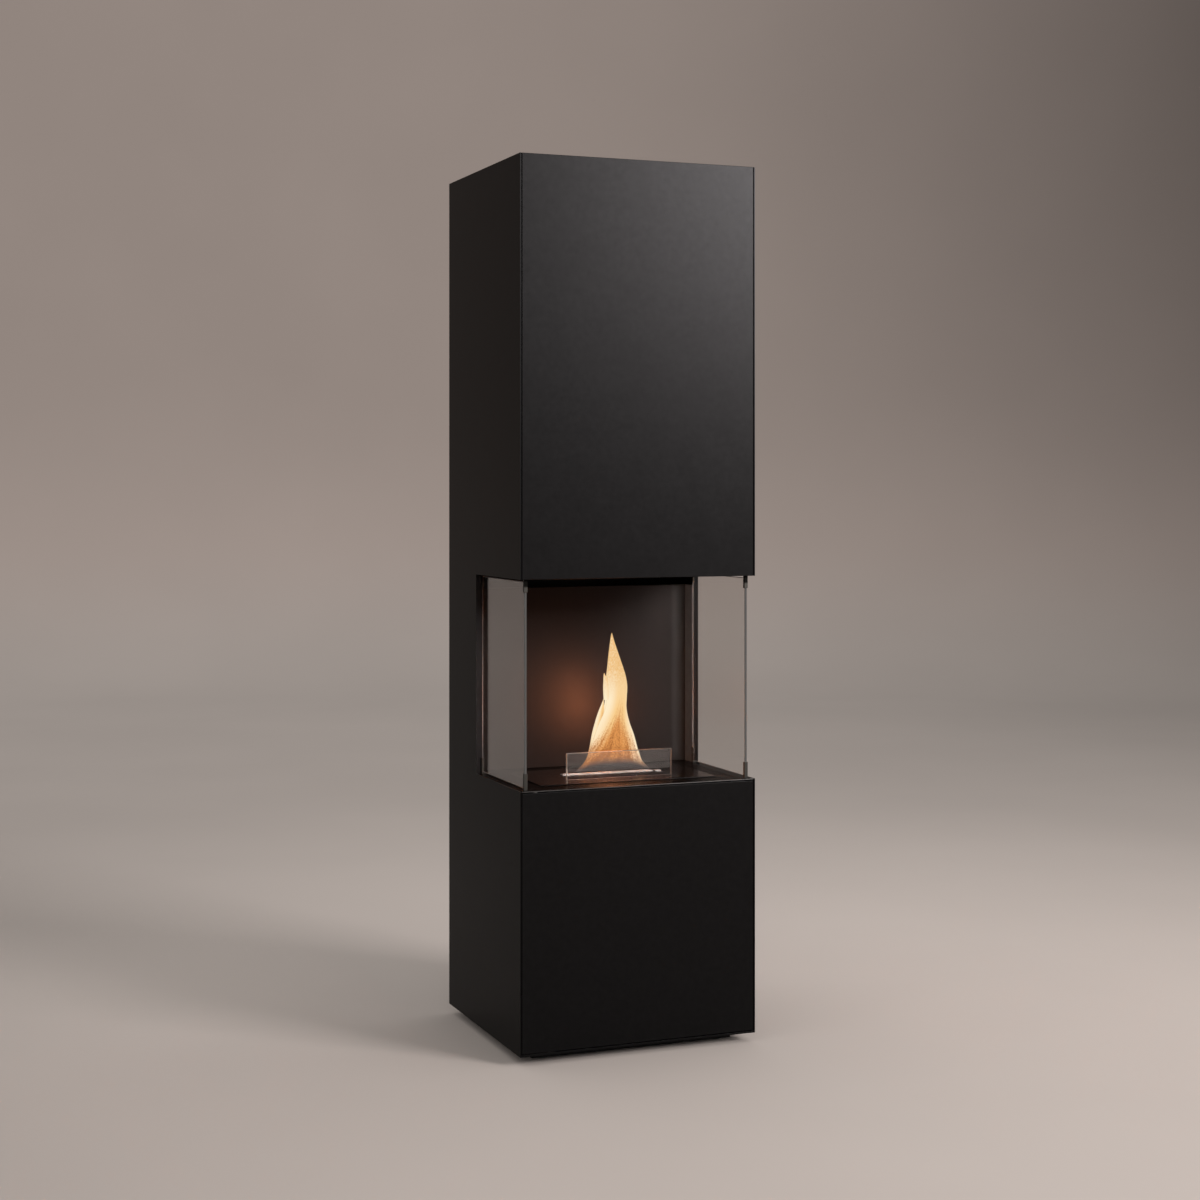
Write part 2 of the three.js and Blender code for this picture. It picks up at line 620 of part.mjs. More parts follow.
onBothSides((side, sign) => {
  const turned = (geometry) => (sign < 0 ? mirroredInX(geometry) : geometry);
  place(`${side}_side_panel`, turned(sidePanel()), blackCoat);
  place(`${side}_liner_panel`, turned(linerSide()), linerCoat);
  place(`${side}_hearth_rail`, turned(hearthRail()), galvanised);
  place(`${side}_glass_pane`, turned(sidePane()), clearGlass);
  for (const level of ["lower", "upper"]) {
    for (const end of ["front", "rear"]) {
      const clip = turned(paneClip(end === "front", level === "upper"));
      place(`${side}_pane_clip_${level}_${end}`, clip, platedSteel);
    }
  }
  screwHeights().forEach((z, row) => {
    place(`rear_cover_screw_${side}_${row + 1}`, coverScrew(sign * screwX(), z), galvanised);
  });
});

place("burner_insert_plate", insertPlate(), insertGloss);
place("burner_slot_rim", slotRim(), brushedSteel);
place("burner_tank", burnerTank(), brushedSteel);
place("ceramic_wick_block", wickBlock(), ceramicFibre);
place("flame_shutter", shutter(), brushedSteel);
place("wind_guard_glass", windGuard(), clearGlass);

const lowerBlock = DOOR_BOTTOM + FIT + SHEET;
const upperBlock = DOOR_TOP - SHEET - HINGE_BLOCK_HEIGHT;
place("lower_door", doorPanel(), blackCoat);
place("door_hinge_pin_lower", hingePin(BASE_TOP, BASE_TOP + HINGE_PIN_LENGTH), brushedSteel);
place(
  "door_hinge_pin_upper",
  hingePin(HEARTH_UNDERSIDE - HINGE_PIN_LENGTH, HEARTH_UNDERSIDE), brushedSteel,
);
place("door_hinge_block_lower", hingeBlock(lowerBlock), galvanised);
place("door_hinge_block_upper", hingeBlock(upperBlock), galvanised);
place("door_strike_plate", strikePlate(), galvanised);
place("door_latch_housing", latchHousing(), darkPlastic);
place("door_latch_plunger", latchPlunger(), darkPlastic);
place("door_bumper", doorBumper(), blackRubber);

export default fireplace;
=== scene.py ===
"""The looks of a free-standing bioethanol fireplace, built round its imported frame."""
import json
import math

import bmesh
import bpy
from bpy.props import FloatProperty, FloatVectorProperty, PointerProperty
from mathutils import Matrix, Vector


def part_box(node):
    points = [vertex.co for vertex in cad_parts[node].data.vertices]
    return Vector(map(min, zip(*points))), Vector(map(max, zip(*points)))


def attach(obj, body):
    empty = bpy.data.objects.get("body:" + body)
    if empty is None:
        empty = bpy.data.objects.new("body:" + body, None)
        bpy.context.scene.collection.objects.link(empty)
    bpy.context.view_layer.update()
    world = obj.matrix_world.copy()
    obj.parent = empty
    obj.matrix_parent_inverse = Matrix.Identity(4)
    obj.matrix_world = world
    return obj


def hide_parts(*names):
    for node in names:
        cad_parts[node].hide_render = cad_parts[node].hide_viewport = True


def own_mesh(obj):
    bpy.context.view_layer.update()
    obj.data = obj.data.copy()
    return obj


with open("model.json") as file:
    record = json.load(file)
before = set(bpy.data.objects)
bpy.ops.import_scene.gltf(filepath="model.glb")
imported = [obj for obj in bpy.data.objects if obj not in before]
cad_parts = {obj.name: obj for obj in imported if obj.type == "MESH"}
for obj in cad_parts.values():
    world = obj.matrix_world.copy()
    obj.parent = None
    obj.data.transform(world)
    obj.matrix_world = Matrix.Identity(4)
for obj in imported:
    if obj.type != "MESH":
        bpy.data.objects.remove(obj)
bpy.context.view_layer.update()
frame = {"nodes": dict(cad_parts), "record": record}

bl_info = {
    "name": "Bioethanol Fireplace",
    "version": (1, 0, 0),
    "blender": (4, 5, 0),
    "location": "View3D > Sidebar > Fireplace",
    "description": "Dresses the fireplace's frame: coated sheets, glass, burner and flame",
    "category": "Add Mesh",
}

SIDES = ("left", "right")
MILLIMETRE = 0.001
MERGE_DISTANCE = 1e-6
COAT_SPECULAR = 0.15
COAT_METALLIC = 0.85

# Where painted light and shade start and stop, in metres: a painted lighter strip at the
# liner's right edge and a painted highlight that fades at the wind guard's middle in X, a
# painted highlight at the hearth's front edge in Y, and painted shade up the upper clips in Z.
LINER_LIT_STRIP = (0.16, 0.18)
ARRIS_HIGHLIGHT_FADE = (-0.02, 0.04)
HEARTH_HIGHLIGHT = (-0.1785, -0.1795)
CLIP_SHADE = (0.7355, 0.738)

# Brush lines: cycles of the pattern to the metre along them and across them.
BRUSH_ALONG = 30.0
BRUSH_ACROSS = 2600.0

# The glass edges: how far they bend light, and how rough they are.
GROUND_BENDING = 1.12
GROUND_ROUGHNESS = 0.3


# ---- settings a user would change --------------------------------------------
def length(name, description, default):
    """A size in metres that a user can set."""
    return FloatProperty(
        name=name, description=description, default=default, min=0.0,
        unit="LENGTH", subtype="DISTANCE",
    )


def colour(name, description, default):
    """A colour that a user can set."""
    return FloatVectorProperty(
        name=name, description=description, default=default, size=3,
        min=0.0, max=1.0, subtype="COLOR",
    )


def share(name, description, default):
    """A share from 0 to 1 that a user can set."""
    return FloatProperty(
        name=name, description=description, default=default, min=0.0, max=1.0,
        subtype="FACTOR",
    )


class FireplaceSizes(bpy.types.PropertyGroup):
    """Sizes of the finish and of the flame."""

    sheet_edge: length("Sheet edge", "Rounding of the coated sheets' edges", 0.0007)
    glass_edge: length("Glass edge", "Ground arris along the panes' edges", 0.0009)
    small_edge: length("Small edge", "Rounding of clips, rim and other small pieces", 0.0004)
    wick_edge: length("Wick edge", "Rounding of the ceramic wick block", 0.0012)
    flame_height: length("Flame height", "From the burner's slot to the flame's tip", 0.227)
    flame_length: length("Flame length", "Length of the flame's foot along the slot", 0.132)
    stage_radius: length("Stage radius", "From the fireplace to the backdrop", 7.0)


class FireplaceFinishes(bpy.types.PropertyGroup):
    """Colours and gloss of the finishes."""

    coat_colour: colour("Coat", "Black powder coat of the casing", (0.01, 0.0098, 0.0101))
    coat_roughness: share("Coat roughness", "Roughness of the powder coat", 0.29)
    liner_colour: colour("Liner", "Heat-resistant paint inside the firebox", (0.0057, 0.0041, 0.0036))
    # Painted light: lightens the liner beside the right flange, where the flange shades it.
    liner_painted_light_colour: colour("Liner edge", "Liner beside the right flange", (0.034, 0.033, 0.032))
    liner_roughness: share("Liner roughness", "Roughness of the liner's paint", 0.55)
    # Painted light: the liner's side panels get a lighter copy of the liner's paint.
    side_liner_painted_light_colour: colour("Side liner", "Paint of the liner's side panels", (0.15, 0.145, 0.145))
    hearth_colour: colour("Hearth", "Coat of the hearth plate", (0.02, 0.019, 0.018))
    # Painted highlight: a lighter colour along the hearth's front edge.
    hearth_painted_highlight_colour: colour("Hearth edge", "Front edge of the hearth", (0.045, 0.043, 0.042))
    insert_colour: colour("Insert", "Gloss enamel of the burner insert", (0.012, 0.0105, 0.01))
    insert_sheen_colour: colour("Insert sheen", "Gloss of the insert, seen low", (0.82, 0.8, 0.8))
    steel_colour: colour("Steel", "Brushed stainless steel", (0.44, 0.44, 0.43))
    plated_colour: colour("Plated", "Dark nickel plate of the pane clips", (0.034, 0.033, 0.03))
    zinc_colour: colour("Zinc", "Galvanised sheet", (0.42, 0.43, 0.44))
    glass_colour: colour("Glass", "Tint of the panes", (1.0, 0.98, 0.96))
    ground_colour: colour("Ground glass", "Ground arris of the panes", (0.15, 0.147, 0.143))
    # Painted highlight on the wind guard's edge, fading to painted shade on its right half.
    arris_highlight_colour: colour("Bright arris", "Polished edge of the wind guard", (0.72, 0.72, 0.7))
    arris_shade_colour: colour("Dim arris", "Right half of that edge", (0.2, 0.2, 0.19))
    fibre_colour: colour("Ceramic fibre", "Fibres of the wick block", (0.8, 0.77, 0.7))
    fibre_gap_colour: colour("Fibre gaps", "Shade between those fibres", (0.5, 0.46, 0.4))
    rubber_colour: colour("Rubber", "Feet and door bumper", (0.02, 0.02, 0.02))
    plastic_colour: colour("Plastic", "Housing and plunger of the latch", (0.03, 0.03, 0.032))
    flame_body_colour: colour("Flame body", "Pale body of the flame", (1.0, 0.83, 0.57))
    flame_tip_colour: colour("Flame tip", "Upper part of the flame", (0.84, 0.5, 0.19))
    flame_gold_colour: colour("Flame gold", "Yellow inside of the flame", (0.94, 0.62, 0.27))
    flame_amber_colour: colour("Flame amber", "Lighter patches of the flame's core", (0.74, 0.31, 0.09))
    flame_core_colour: colour("Flame core", "Orange-brown patches of the core", (0.38, 0.135, 0.038))
    flame_foot_colour: colour("Flame foot", "Thin foot over the slot", (0.075, 0.064, 0.064))
    glow_colour: colour("Glow", "Light that the flame throws", (1.0, 0.34, 0.14))
    backdrop_colour: colour("Backdrop", "Floor and backdrop", (0.62, 0.565, 0.525))
    key_colour: colour("Key light", "Soft box at the front right", (1.0, 0.955, 0.94))
    sky_colour: colour("Room light", "Even light of the room", (1.0, 0.985, 0.965))


def sizes():
    """The sizes that are set in the scene."""
    return bpy.context.scene.fireplace_sizes


def finishes():
    """The colours and the gloss that are set in the scene."""
    return bpy.context.scene.fireplace_finishes


# ---- materials -----------------------------------------------------------------
def new_node(tree, kind, **values):
    """Adds a node; a value goes to the input of that name, or else to the node itself."""
    node = tree.nodes.new(kind)
    for name, value in values.items():
        socket = node.inputs.get(name.replace("_", " "))
        if socket is not None:
            socket.default_value = value
        else:
            setattr(node, name, value)
    return node


def new_material(name, **sockets):
    """A Principled material. Returns the material, its node tree and its shader."""
    material = bpy.data.materials.new(name)
    material.use_nodes = True
    shader = material.node_tree.nodes["Principled BSDF"]
    for socket, value in sockets.items():
        shader.inputs[socket.replace("_", " ")].default_value = value
    return material, material.node_tree, shader


def opaque(rgb):
    """The colour as a node's socket takes it, with full alpha."""
    return (rgb[0], rgb[1], rgb[2], 1.0)


def object_place(tree, scale=(1.0, 1.0, 1.0)):
    """Object coordinates in metres, stretched by scale."""
    place = new_node(tree, "ShaderNodeTexCoord")
    mapping = new_node(tree, "ShaderNodeMapping", Scale=scale)
    tree.links.new(place.outputs["Object"], mapping.inputs["Vector"])
    return mapping.outputs["Vector"]


def noise(tree, place, scale, detail=3.0, roughness=0.5):
    """A cloudy pattern; scale is its cycles to the metre."""
    cloud = new_node(tree, "ShaderNodeTexNoise", Scale=scale, Detail=detail, Roughness=roughness)
    tree.links.new(place, cloud.inputs["Vector"])
    return cloud.outputs["Fac"]


def spread(tree, value, low, high, start=0.3, stop=0.7, way="LINEAR"):
    """Maps a pattern's start..stop to low..high."""
    ramp = new_node(
        tree, "ShaderNodeMapRange", interpolation_type=way,
        From_Min=start, From_Max=stop, To_Min=low, To_Max=high,
    )
    tree.links.new(value, ramp.inputs["Value"])
    return ramp.outputs["Result"]


def crossing(tree, axis, start, stop):
    """Goes from 0 to 1 between two places on an axis of the object."""
    parts = new_node(tree, "ShaderNodeSeparateXYZ")
    tree.links.new(object_place(tree), parts.inputs["Vector"])
    return spread(tree, parts.outputs[axis], 0.0, 1.0, start, stop)


def calculated(tree, operation, *values):
    """A sum, product or the like of sockets and plain numbers."""
    node = new_node(tree, "ShaderNodeMath", operation=operation)
    for socket, value in zip(node.inputs, values):
        if isinstance(value, bpy.types.NodeSocket):
            tree.links.new(value, socket)
        else:
            socket.default_value = value
    return node.outputs[0]


def blend_colours(tree, factor, first, second):
    """Goes from the first colour at 0 to the second at 1; a colour may be a socket."""
    mix = new_node(tree, "ShaderNodeMix", data_type="RGBA")
    for socket, shade in ((mix.inputs[6], first), (mix.inputs[7], second)):
        if isinstance(shade, bpy.types.NodeSocket):
            tree.links.new(shade, socket)
        else:
            socket.default_value = opaque(shade)
    tree.links.new(factor, mix.inputs["Factor"])
    return mix.outputs[2]


def grain(tree, shader, heights, distance, strength):
    """Raises the surface by a pattern, up to distance in metres."""
    bump = new_node(tree, "ShaderNodeBump", Distance=distance, Strength=strength)
    tree.links.new(heights, bump.inputs["Height"])
    tree.links.new(bump.outputs["Normal"], shader.inputs["Normal"])


def tone(rgb, factor):
    """The colour made darker or lighter."""
    return tuple(min(1.0, channel * factor) for channel in rgb)


def coated(name, rgb, roughness, edge_sheen, peel, metallic=COAT_METALLIC, painted_light=None):
    """Dark metallic powder coat or paint: faint mottle, fine orange peel, uneven gloss.

    The edge sheen holds back the gloss at grazing angles, as the coat's fine grain does.
    The last argument gives an axis, where on it painted light starts and stops, and the lighter colour
    painted there.
    """
    material, tree, shader = new_material(
        name, Metallic=metallic, Specular_IOR_Level=COAT_SPECULAR,
        Specular_Tint=opaque((edge_sheen, edge_sheen, edge_sheen)),
    )
    place = object_place(tree)
    mottle = noise(tree, place, 110.0, 5.0, 0.6)
    colours = blend_colours(tree, spread(tree, mottle, 0.0, 1.0), tone(rgb, 0.9), tone(rgb, 1.1))
    # Painted light: a lighter band painted along one axis, as a highlight or a lit strip.
    if painted_light:
        axis, places, painted_tone = painted_light
        colours = blend_colours(tree, crossing(tree, axis, *places), colours, painted_tone)
    tree.links.new(colours, shader.inputs["Base Color"])
    gloss = spread(tree, noise(tree, place, 30.0, 5.0), roughness - 0.006, roughness + 0.006)
    tree.links.new(gloss, shader.inputs["Roughness"])
    grain(tree, shader, noise(tree, place, 900.0, 2.0), 0.0001, peel)
    return material


def brushed(name, rgb, roughness, along, metallic=1.0, shade_heights=None):
    """Metal with fine brush lines along one axis; the last argument gives heights above which painted
    shade darkens it.
    """
    material, tree, shader = new_material(name, Metallic=metallic, Base_Color=opaque(rgb))
    # Painted shade: the colour goes dark between the given heights.
    if shade_heights:
        shades = blend_colours(tree, crossing(tree, "Z", *shade_heights), rgb, tone(rgb, 0.1))
        tree.links.new(shades, shader.inputs["Base Color"])
    lines = object_place(tree, tuple(BRUSH_ALONG if axis else BRUSH_ACROSS for axis in along))
    streaks = noise(tree, lines, 1.0, 3.0)
    gloss = spread(tree, streaks, roughness - 0.07, roughness + 0.09)
    tree.links.new(gloss, shader.inputs["Roughness"])
    grain(tree, shader, streaks, 0.00005, 0.35)
    return material


def galvanised():
    """Zinc-coated sheet with its spangle of flat crystals."""
    material, tree, shader = new_material("galvanised", Metallic=1.0)
    place = object_place(tree)
    spangle = new_node(tree, "ShaderNodeTexVoronoi", Scale=140.0)
    tree.links.new(place, spangle.inputs["Vector"])
    crystals = new_node(tree, "ShaderNodeSeparateColor")
    tree.links.new(spangle.outputs["Color"], crystals.inputs["Color"])
    rgb = finishes().zinc_colour
    shades = blend_colours(tree, crystals.outputs["Red"], tone(rgb, 0.8), tone(rgb, 1.15))
    tree.links.new(shades, shader.inputs["Base Color"])
    gloss = spread(tree, crystals.outputs["Green"], 0.38, 0.58, 0.0, 1.0)
    tree.links.new(gloss, shader.inputs["Roughness"])
    return material


def gloss_enamel():
    """The burner insert's black enamel, with faint wiping marks."""
    chosen = finishes()
    material, tree, shader = new_material(
        "gloss_enamel", Base_Color=opaque(chosen.insert_colour), Metallic=COAT_METALLIC,
        Specular_IOR_Level=COAT_SPECULAR, Specular_Tint=opaque(chosen.insert_sheen_colour),
    )
    wipes = noise(tree, object_place(tree, (9.0, 40.0, 9.0)), 1.0, 5.0)
    tree.links.new(spread(tree, wipes, 0.15, 0.21), shader.inputs["Roughness"])
    grain(tree, shader, noise(tree, object_place(tree), 160.0, 2.0), 0.0001, 0.1)
    return material


def clear_glass(name, roughness, tint, bending=1.5, passing=1.0, shine=0.5, highlight_fade=None):
    """Glass or its ground edge; the last argument gives where in X a painted highlight fades to a
    second, darker tint.
    """
    material, tree, shader = new_material(
        name, Base_Color=opaque(tint), Transmission_Weight=passing, IOR=bending,
        Specular_IOR_Level=shine,
    )
    # Painted highlight: the edge's tint fades along X to a darker, painted shade tint.
    if highlight_fade:
        places, dim = highlight_fade
        shades = blend_colours(tree, crossing(tree, "X", *places), tint, dim)
        tree.links.new(shades, shader.inputs["Base Color"])
    haze = noise(tree, object_place(tree, (14.0, 14.0, 5.0)), 1.0, 4.0)
    tree.links.new(spread(tree, haze, roughness, roughness + 0.012), shader.inputs["Roughness"])
    return material


def ceramic_fibre():
    """The wick block's pressed fibres, darker between them."""
    chosen = finishes()
    material, tree, shader = new_material("ceramic_fibre", Specular_IOR_Level=0.1, Roughness=0.95)
    fibres = noise(tree, object_place(tree, (260.0, 900.0, 500.0)), 1.0, 6.0, 0.7)
    raised = spread(tree, fibres, 0.0, 1.0)
    shades = blend_colours(tree, raised, chosen.fibre_gap_colour, chosen.fibre_colour)
    tree.links.new(shades, shader.inputs["Base Color"])
    grain(tree, shader, fibres, 0.0008, 0.8)
    return material


def moulded(name, rgb, roughness):
    """Rubber or plastic with a fine moulded texture."""
    material, tree, shader = new_material(name, Specular_IOR_Level=0.35)
    place = object_place(tree)
    shades = blend_colours(tree, noise(tree, place, 60.0, 4.0), tone(rgb, 0.8), tone(rgb, 1.2))
    tree.links.new(shades, shader.inputs["Base Color"])
    gloss = spread(tree, noise(tree, place, 300.0), roughness - 0.05, roughness + 0.05)
    tree.links.new(gloss, shader.inputs["Roughness"])
    grain(tree, shader, noise(tree, place, 1800.0, 2.0), 0.0001, 0.4)
    return material


def make_finishes():
    """One material for each slot of the record, and three for parts of a slot."""
    chosen = finishes()
    return {
        "black_coat": coated("black_coat", chosen.coat_colour, chosen.coat_roughness, 0.58, 0.12),
        # The liner gets a painted lighter strip beside the right flange.
        "liner_coat": coated(
            "liner_coat", chosen.liner_colour, chosen.liner_roughness, 0.7, 0.2, metallic=0.6,
            painted_light=("X", LINER_LIT_STRIP, chosen.liner_painted_light_colour),
        ),
        # Painted light: a lighter copy of the liner's paint for its side panels.
        "side_liner": coated("side_liner_coat", chosen.side_liner_painted_light_colour, 0.7, 0.15, 0.2, metallic=0.0),
        # The hearth gets a painted highlight along its front edge.
        "hearth_steel": coated(
            "hearth_coat", chosen.hearth_colour, 0.26, 0.3, 0.15,
            painted_light=("Y", HEARTH_HIGHLIGHT, chosen.hearth_painted_highlight_colour),
        ),
        "insert_gloss": gloss_enamel(),
        "brushed_steel": brushed("brushed_steel", chosen.steel_colour, 0.25, (1, 0, 0), metallic=0.5),
        # The upper clips get painted shade on their upper part.
        "plated_steel": brushed("plated_steel", chosen.plated_colour, 0.45, (0, 0, 1), shade_heights=CLIP_SHADE),
        "galvanised_steel": galvanised(),
        "clear_glass": clear_glass("clear_glass", 0.0, chosen.glass_colour),
        "ground_glass": clear_glass(
            "ground_glass_edge", GROUND_ROUGHNESS, chosen.ground_colour, GROUND_BENDING,
            passing=0.35, shine=0.05,
        ),
        # The wind guard's edge gets a painted highlight that fades to painted shade on its right half.
        "arris_painted_highlight": clear_glass(
            "glass_edge_painted_highlight", GROUND_ROUGHNESS, chosen.arris_highlight_colour, GROUND_BENDING,
            passing=0.8, highlight_fade=(ARRIS_HIGHLIGHT_FADE, chosen.arris_shade_colour),
        ),
        "ceramic_fibre": ceramic_fibre(),
        "black_rubber": moulded("black_rubber", chosen.rubber_colour, 0.8),
        "dark_plastic": moulded("dark_plastic", chosen.plastic_colour, 0.5),
    }


MATERIALS = {}
SLOTS = {part["node"]: part["material_slot"] for part in frame["record"]["subparts"]}
BODY_OF = {
    node: body for body, nodes in frame["record"]["behaviour"]["bodies"].items() for node in nodes
}


def material_of(node):
    """The finish of a node's slot; the liner's side panels have a lighter one, which is painted light.
    """
    return MATERIALS["side_liner" if node.endswith("liner_panel") else SLOTS[node]]


# ---- mesh helpers ----------------------------------------------------------------
FLAT_ANGLE = math.radians(1.0)
SHARP_ANGLE = math.radians(30.0)


def finished_object(name, shape, *materials):
    """Makes the piece's object from a bmesh, which it frees."""
    mesh = bpy.data.meshes.new(name)
    shape.to_mesh(mesh)
    shape.free()
    piece = bpy.data.objects.new(name, mesh)
    bpy.context.scene.collection.objects.link(piece)
    for material in materials:
        mesh.materials.append(material)
    return piece


def smooth(piece):
    """Smooth shading all over."""
    for polygon in piece.data.polygons:
        polygon.use_smooth = True


def shade_softly(piece):
    """Smooth shading that keeps flat faces flat between their rounded edges."""
    smooth(piece)
    weighted = piece.modifiers.new("flat faces stay flat", "WEIGHTED_NORMAL")
    weighted.mode = "FACE_AREA"
    weighted.weight = 100
    weighted.keep_sharp = True


def node_shape(node):
    """A merged copy of a CAD node's mesh, with its flat faces joined."""
    shape = bmesh.new()
    shape.from_mesh(frame["nodes"][node].data)
    bmesh.ops.remove_doubles(shape, verts=shape.verts, dist=MERGE_DISTANCE)
    bmesh.ops.dissolve_limit(
        shape, angle_limit=FLAT_ANGLE, verts=shape.verts, edges=shape.edges,
    )
    return shape


def spun_shape(outline, centre, axis, steps):
    """Turns an outline all the way round an axis and merges its seam."""
    shape = bmesh.new()
    points = [shape.verts.new(place) for place in outline]
    edges = [shape.edges.new(pair) for pair in zip(points, points[1:])]
    bmesh.ops.spin(
        shape, geom=points + edges, cent=centre, axis=axis,
        angle=math.tau, steps=steps, use_merge=True,
    )
    bmesh.ops.remove_doubles(shape, verts=shape.verts, dist=MERGE_DISTANCE)
    return shape


def round_edges(shape, radius, segments=3):
    """Rounds every edge between two faces that are clearly turned from each other."""
    sharp = [edge for edge in shape.edges if edge.calc_face_angle(0.0) > SHARP_ANGLE]
    bmesh.ops.bevel(
        shape, geom=sharp, offset=radius, segments=segments, profile=0.5,
        affect="EDGES", material=-1, clamp_overlap=True,
    )


def settle(piece, node):
    """Puts a finished piece in the place of the node it stands for."""
    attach(piece, BODY_OF[node])
    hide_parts(node)


def round_nodes(nodes, radius):
    """Stands a piece with rounded edges, in the same finish, in the place of each node."""
    for node in nodes:
        shape = node_shape(node)
        round_edges(shape, radius)
        piece = finished_object(f"{node}_rounded", shape, material_of(node))
        shade_softly(piece)
        settle(piece, node)


def coat_node(node):
    """Gives a CAD node that keeps its shape the material of its slot."""
    mesh = frame["nodes"][node].data
    mesh.materials.clear()
    mesh.materials.append(material_of(node))


# ---- operators -------------------------------------------------------------------
class FIREPLACE_OT_finishes(bpy.types.Operator):
    """Makes the materials and coats every node of the frame"""

    bl_idname = "fireplace.finishes"
    bl_label = "Finishes"

    def execute(self, context):
        MATERIALS.update(make_finishes())
        for node in frame["nodes"]:
            coat_node(node)
        return {"FINISHED"}


class FIREPLACE_OT_casing(bpy.types.Operator):
    """Rounds the edges of the coated sheets of foot, column and hood"""

    bl_idname = "fireplace.casing"
    bl_label = "Casing"

    SHEETS = (
        "plinth_frame", "base_plate", "rear_cover", "top_cover", "upper_front_panel",
        *(f"{side}_side_panel" for side in SIDES),
    )

    def execute(self, context):
        round_nodes(self.SHEETS, sizes().sheet_edge)
        return {"FINISHED"}


class FIREPLACE_OT_firebox(bpy.types.Operator):
    """Rounds the edges of hearth, liner and ceiling"""

    bl_idname = "fireplace.firebox"
    bl_label = "Firebox"

    SHEETS = (
        "hearth_plate", "firebox_back_panel", "ceiling_plate", "heat_shield",
        *(f"{side}_liner_panel" for side in SIDES),
    )

    def execute(self, context):
        round_nodes(self.SHEETS, sizes().sheet_edge)
        return {"FINISHED"}


class FIREPLACE_OT_glass(bpy.types.Operator):
    """Makes the side panes and the wind guard, with ground edges"""

    bl_idname = "fireplace.glass"
    bl_label = "Glass"

    # How squarely a face must look through the glass to be one of its clear faces.
    CLEAR_FACE = 0.99

    def execute(self, context):
        for side in SIDES:
            self.pane(f"{side}_glass_pane", Vector((1.0, 0.0, 0.0)), "ground_glass")
        self.pane("wind_guard_glass", Vector((0.0, 1.0, 0.0)), "arris_painted_highlight")
        return {"FINISHED"}

    def pane(self, node, through, arris):
        """Rounds a pane's edges; all but its two clear faces get the arris's finish."""
        shape = node_shape(node)
        round_edges(shape, sizes().glass_edge, 2)
        for face in shape.faces:
            face.material_index = 0 if abs(face.normal.dot(through)) > self.CLEAR_FACE else 1
        piece = finished_object(
            f"{node}_ground", shape, MATERIALS["clear_glass"], MATERIALS[arris]
        )
        settle(piece, node)
        piece.visible_shadow = False


class FIREPLACE_OT_burner(bpy.types.Operator):
    """Rounds the burner insert, its slot rim, shutter and tank"""

    bl_idname = "fireplace.burner"
    bl_label = "Burner"

    SMALL_PIECES = ("burner_slot_rim", "flame_shutter", "burner_tank")

    def execute(self, context):
        round_nodes(["burner_insert_plate"], sizes().sheet_edge)
        round_nodes(self.SMALL_PIECES, sizes().small_edge)
        round_nodes(["ceramic_wick_block"], sizes().wick_edge)
        return {"FINISHED"}


class FIREPLACE_OT_door(bpy.types.Operator):
    """Rounds the lower door and its hinge and latch pieces"""

    bl_idname = "fireplace.door"
    bl_label = "Door"

    SMALL_PIECES = (
        "door_hinge_block_lower", "door_hinge_block_upper", "door_strike_plate",
        "door_hinge_pin_lower", "door_hinge_pin_upper",
        "door_latch_housing", "door_latch_plunger", "door_bumper",
    )

    def execute(self, context):
        round_nodes(["lower_door"], sizes().sheet_edge)
        round_nodes(self.SMALL_PIECES, sizes().small_edge)
        return {"FINISHED"}


class FIREPLACE_OT_fixings(bpy.types.Operator):
    """Makes the clips, feet and socket-headed cover screws"""

    bl_idname = "fireplace.fixings"
    bl_label = "Fixings"

    SOCKET_APOTHEM = 1.25 * MILLIMETRE
    SOCKET_DEPTH = 1.3 * MILLIMETRE
    SOCKET_SIDE = math.radians(60.0)
    SOCKET_TOLERANCE = 1e-5
    HEAD_HEIGHT = 2.2 * MILLIMETRE
    SHANK_RADIUS = 2.0 * MILLIMETRE
    # Share of the head's radius, and how far the dome has come down there.
    DOME = ((0.62, 0.0), (0.86, 0.45 * MILLIMETRE), (1.0, 1.3 * MILLIMETRE))
    SCREW_STEPS = 24

    def execute(self, context):
        for node in frame["nodes"]:
            if "_pane_clip_" in node or node.startswith("levelling_foot"):
                round_nodes([node], sizes().small_edge)
            if node.startswith("rear_cover_screw"):
                self.screw(node)
        return {"FINISHED"}

    def screw(self, node):
        """A domed head with a hexagon socket on a plain shank, turned round Y."""
        low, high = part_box(node)
        middle = (low + high) / 2
        radius = (high.x - low.x) / 2
        head_foot = high.y - self.HEAD_HEIGHT
        outline = [
            (0.0, high.y - self.SOCKET_DEPTH),
            (self.SOCKET_APOTHEM, high.y - self.SOCKET_DEPTH),
            (self.SOCKET_APOTHEM, high.y),
            *((part * radius, high.y - drop) for part, drop in self.DOME),
            (radius, head_foot),
            (self.SHANK_RADIUS, head_foot),
            (self.SHANK_RADIUS, low.y),
            (0.0, low.y),
        ]
        shape = spun_shape(
            [(middle.x + out, y, middle.z) for out, y in outline],
            (middle.x, 0.0, middle.z), (0.0, 1.0, 0.0), self.SCREW_STEPS,
        )
        self.make_hexagon(shape, middle)
        bmesh.ops.recalc_face_normals(shape, faces=shape.faces)
        piece = finished_object(f"{node}_head", shape, material_of(node))
        shade_softly(piece)
        settle(piece, node)

    def make_hexagon(self, shape, middle):
        """Moves the round socket's points out to the sides of a hexagon."""
        for vert in shape.verts:
            across = Vector((vert.co.x - middle.x, vert.co.z - middle.z))
            if abs(across.length - self.SOCKET_APOTHEM) < self.SOCKET_TOLERANCE:
                turn = math.atan2(across.y, across.x) % self.SOCKET_SIDE
                stretch = 1.0 / math.cos(turn - self.SOCKET_SIDE / 2)
                vert.co.x = middle.x + across.x * stretch
                vert.co.z = middle.z + across.y * stretch


